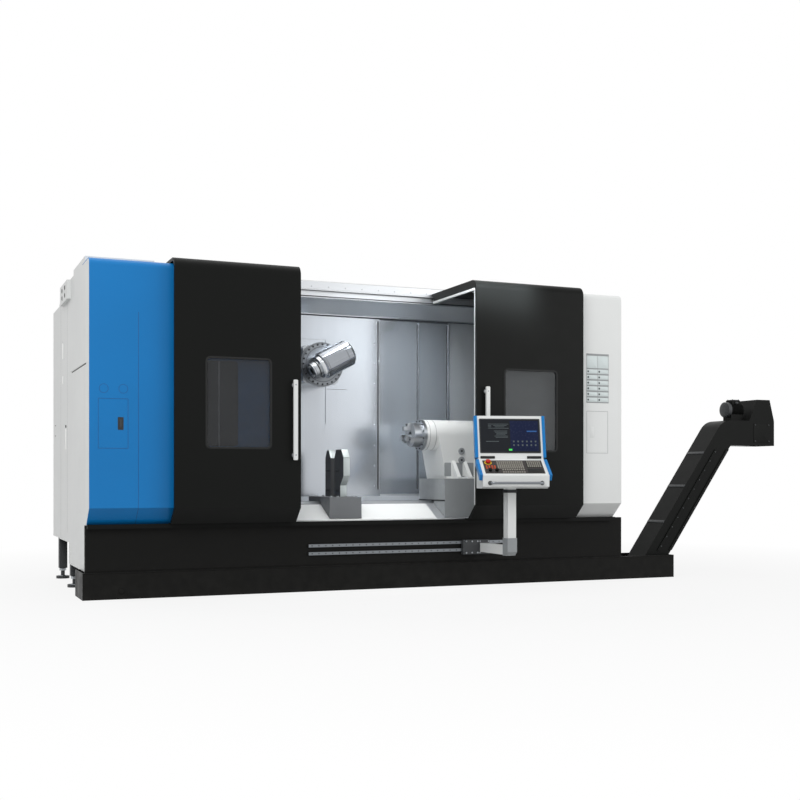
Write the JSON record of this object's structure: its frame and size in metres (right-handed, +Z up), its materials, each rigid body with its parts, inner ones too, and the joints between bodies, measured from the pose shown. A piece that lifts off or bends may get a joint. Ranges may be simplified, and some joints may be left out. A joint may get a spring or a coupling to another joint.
{
  "type": "cnc turning lathe",
  "caption": "Large enclosed turn-mill centre with sliding doors, tilting milling head, tailstock, pendant control and an inclined chip conveyor.",
  "frame": {"origin": "centre of the machine's footprint box, on the floor", "axes": "+X along the bed towards the chip conveyor, +Y from the operator towards the rear, +Z up"},
  "size_m": [6.706, 3.2215, 2.69],
  "materials": {
    "blue_paint": "satin paint",
    "white_paint": "satin paint",
    "black_paint": "satin paint",
    "dark_grey": "satin paint",
    "stainless": "brushed sheet",
    "ground_steel": "ground",
    "polished_steel": "polished",
    "cast_iron": "grey machine paint",
    "smoked_glass": "smoked",
    "screen_glass": "display cover",
    "keypad_plastic": "moulded",
    "red_plastic": "moulded"
  },
  "bodies": {
    "machine": {"bed": "cast_iron", "guide_ways": "ground_steel", "levelling_feet": "dark_grey", "chip_tray": "black_paint", "base_skirt": "black_paint", "left_cover": "blue_paint", "right_cover": "white_paint", "left_end_panel": "white_paint", "right_end_panel": "white_paint", "rear_housing": "white_paint", "roof_panel": "white_paint", "roof_boxes": "white_paint", "chip_floor": "white_paint", "inner_walls": "stainless", "wall_guides": "stainless", "header_beam": "stainless", "headstock": "cast_iron", "door_tracks": "black_paint", "pendant_rails": "ground_steel", "conveyor_housing": "black_paint", "conveyor_motor": "black_paint"},
    "left_door_body": {"left_door": "black_paint", "left_window": "smoked_glass", "left_handle": "white_paint"},
    "right_door_body": {"right_door": "black_paint", "right_window": "smoked_glass", "right_handle": "white_paint"},
    "left_hatch_body": {"left_hatch": "blue_paint"},
    "right_hatch_body": {"right_hatch": "white_paint"},
    "main_spindle_body": {"main_spindle": "ground_steel", "chuck_body": "ground_steel", "chuck_jaws": "ground_steel"},
    "column_body": {"column": "cast_iron", "wall_shield": "stainless"},
    "plate_right_1_body": {"wall_plate_right_1": "stainless"},
    "plate_right_2_body": {"wall_plate_right_2": "stainless"},
    "plate_left_1_body": {"wall_plate_left_1": "stainless"},
    "plate_left_2_body": {"wall_plate_left_2": "stainless"},
    "head_slide_body": {"head_slide": "cast_iron", "slot_plate": "stainless"},
    "ram_body": {"ram": "ground_steel"},
    "swivel_body": {"swivel_disc": "ground_steel", "spindle_housing": "polished_steel"},
    "tool_spindle_body": {"spindle_nose": "ground_steel"},
    "tailstock_carriage": {"tailstock_base": "cast_iron", "tailstock_body": "white_paint"},
    "tail_spindle_body": {"tail_chuck": "ground_steel", "tail_jaws": "ground_steel"},
    "steady_carriage": {"steady_base": "cast_iron", "steady_arms": "dark_grey"},
    "pendant_carrier": {"pendant_carriage": "dark_grey", "pendant_arm": "white_paint"},
    "panel_body": {"panel_housing": "white_paint", "panel_trim": "blue_paint", "panel_screen": "screen_glass", "panel_keypad": "keypad_plastic", "panel_handle": "ground_steel"},
    "estop_body": {"estop_button": "red_plastic"},
    "feed_knob_body": {"feed_knob": "keypad_plastic"},
    "speed_knob_body": {"speed_knob": "keypad_plastic"}
  },
  "joints": [
    {"name": "left_door_slide", "type": "slide", "parent": "machine", "child": "left_door_body", "axis": [1, 0, 0], "range_m": [0, 0.78]},
    {"name": "right_door_slide", "type": "slide", "parent": "machine", "child": "right_door_body", "axis": [1, 0, 0], "range_m": [-0.78, 0]},
    {"name": "left_hatch_hinge", "type": "hinge", "parent": "machine", "child": "left_hatch_body", "pos_m": [-3.252, -0.86925, 1.35], "axis": [0, 0, 1], "range_deg": [-110, 0]},
    {"name": "right_hatch_hinge", "type": "hinge", "parent": "machine", "child": "right_hatch_body", "pos_m": [1.269, -0.86925, 1.35], "axis": [0, 0, 1], "range_deg": [0, 110]},
    {"name": "main_spin", "type": "hinge", "parent": "machine", "child": "main_spindle_body", "pos_m": [-2.207, -0.42925, 1.317], "axis": [1, 0, 0], "continuous": true},
    {"name": "column_slide", "type": "slide", "parent": "machine", "child": "column_body", "axis": [1, 0, 0], "range_m": [-0.25, 0.85]},
    {"name": "plate_right_1_slide", "type": "slide", "parent": "machine", "child": "plate_right_1_body", "axis": [1, 0, 0], "range_m": [-0.17, 0.57]},
    {"name": "plate_right_2_slide", "type": "slide", "parent": "machine", "child": "plate_right_2_body", "axis": [1, 0, 0], "range_m": [-0.084, 0.284]},
    {"name": "plate_left_1_slide", "type": "slide", "parent": "machine", "child": "plate_left_1_body", "axis": [1, 0, 0], "range_m": [-0.17, 0.57]},
    {"name": "plate_left_2_slide", "type": "slide", "parent": "machine", "child": "plate_left_2_body", "axis": [1, 0, 0], "range_m": [-0.084, 0.284]},
    {"name": "head_lift", "type": "slide", "parent": "column_body", "child": "head_slide_body", "axis": [0, 0, 1], "range_m": [-0.32, 0.09]},
    {"name": "ram_slide", "type": "slide", "parent": "head_slide_body", "child": "ram_body", "axis": [0, 1, 0], "range_m": [-0.15, 0.15]},
    {"name": "head_swivel", "type": "hinge", "parent": "ram_body", "child": "swivel_body", "pos_m": [-1.25, -0.24925, 1.928], "axis": [0, 1, 0], "range_deg": [-182, 58]},
    {"name": "tool_spin", "type": "hinge", "parent": "swivel_body", "child": "tool_spindle_body", "pos_m": [-1.25, -0.40925, 1.928], "axis": [0.8829, 0, 0.4695], "continuous": true},
    {"name": "tailstock_slide", "type": "slide", "parent": "machine", "child": "tailstock_carriage", "axis": [1, 0, 0], "range_m": [-0.6, 0.15]},
    {"name": "tail_spin", "type": "hinge", "parent": "tailstock_carriage", "child": "tail_spindle_body", "pos_m": [-0.422, -0.42925, 1.317], "axis": [1, 0, 0], "continuous": true},
    {"name": "steady_slide", "type": "slide", "parent": "machine", "child": "steady_carriage", "axis": [1, 0, 0], "range_m": [-0.25, 0.5]},
    {"name": "pendant_slide", "type": "slide", "parent": "machine", "child": "pendant_carrier", "axis": [1, 0, 0], "range_m": [-1.4, 0.05]},
    {"name": "panel_swivel", "type": "hinge", "parent": "pendant_carrier", "child": "panel_body", "pos_m": [0.062, -1.24025, 0.85], "axis": [0, 0, 1], "range_deg": [-8, 40]},
    {"name": "estop_push", "type": "slide", "parent": "panel_body", "child": "estop_body", "axis": [0.157, 0.5134, -0.8437], "range_m": [0, 0.004], "stiffness_N_per_m": 900},
    {"name": "feed_turn", "type": "hinge", "parent": "panel_body", "child": "feed_knob_body", "pos_m": [-0.19553, -1.38142, 0.99299], "axis": [-0.157, -0.5134, 0.8437], "range_deg": [-135, 135]},
    {"name": "speed_turn", "type": "hinge", "parent": "panel_body", "child": "speed_knob_body", "pos_m": [-0.14293, -1.3975, 0.99299], "axis": [-0.157, -0.5134, 0.8437], "range_deg": [-135, 135]}
  ],
  "couplings": [
    {"joint": "plate_right_1_slide", "follows": "column_slide", "ratio": 0.66667},
    {"joint": "plate_right_2_slide", "follows": "column_slide", "ratio": 0.33333},
    {"joint": "plate_left_1_slide", "follows": "column_slide", "ratio": 0.66667},
    {"joint": "plate_left_2_slide", "follows": "column_slide", "ratio": 0.33333}
  ]
}
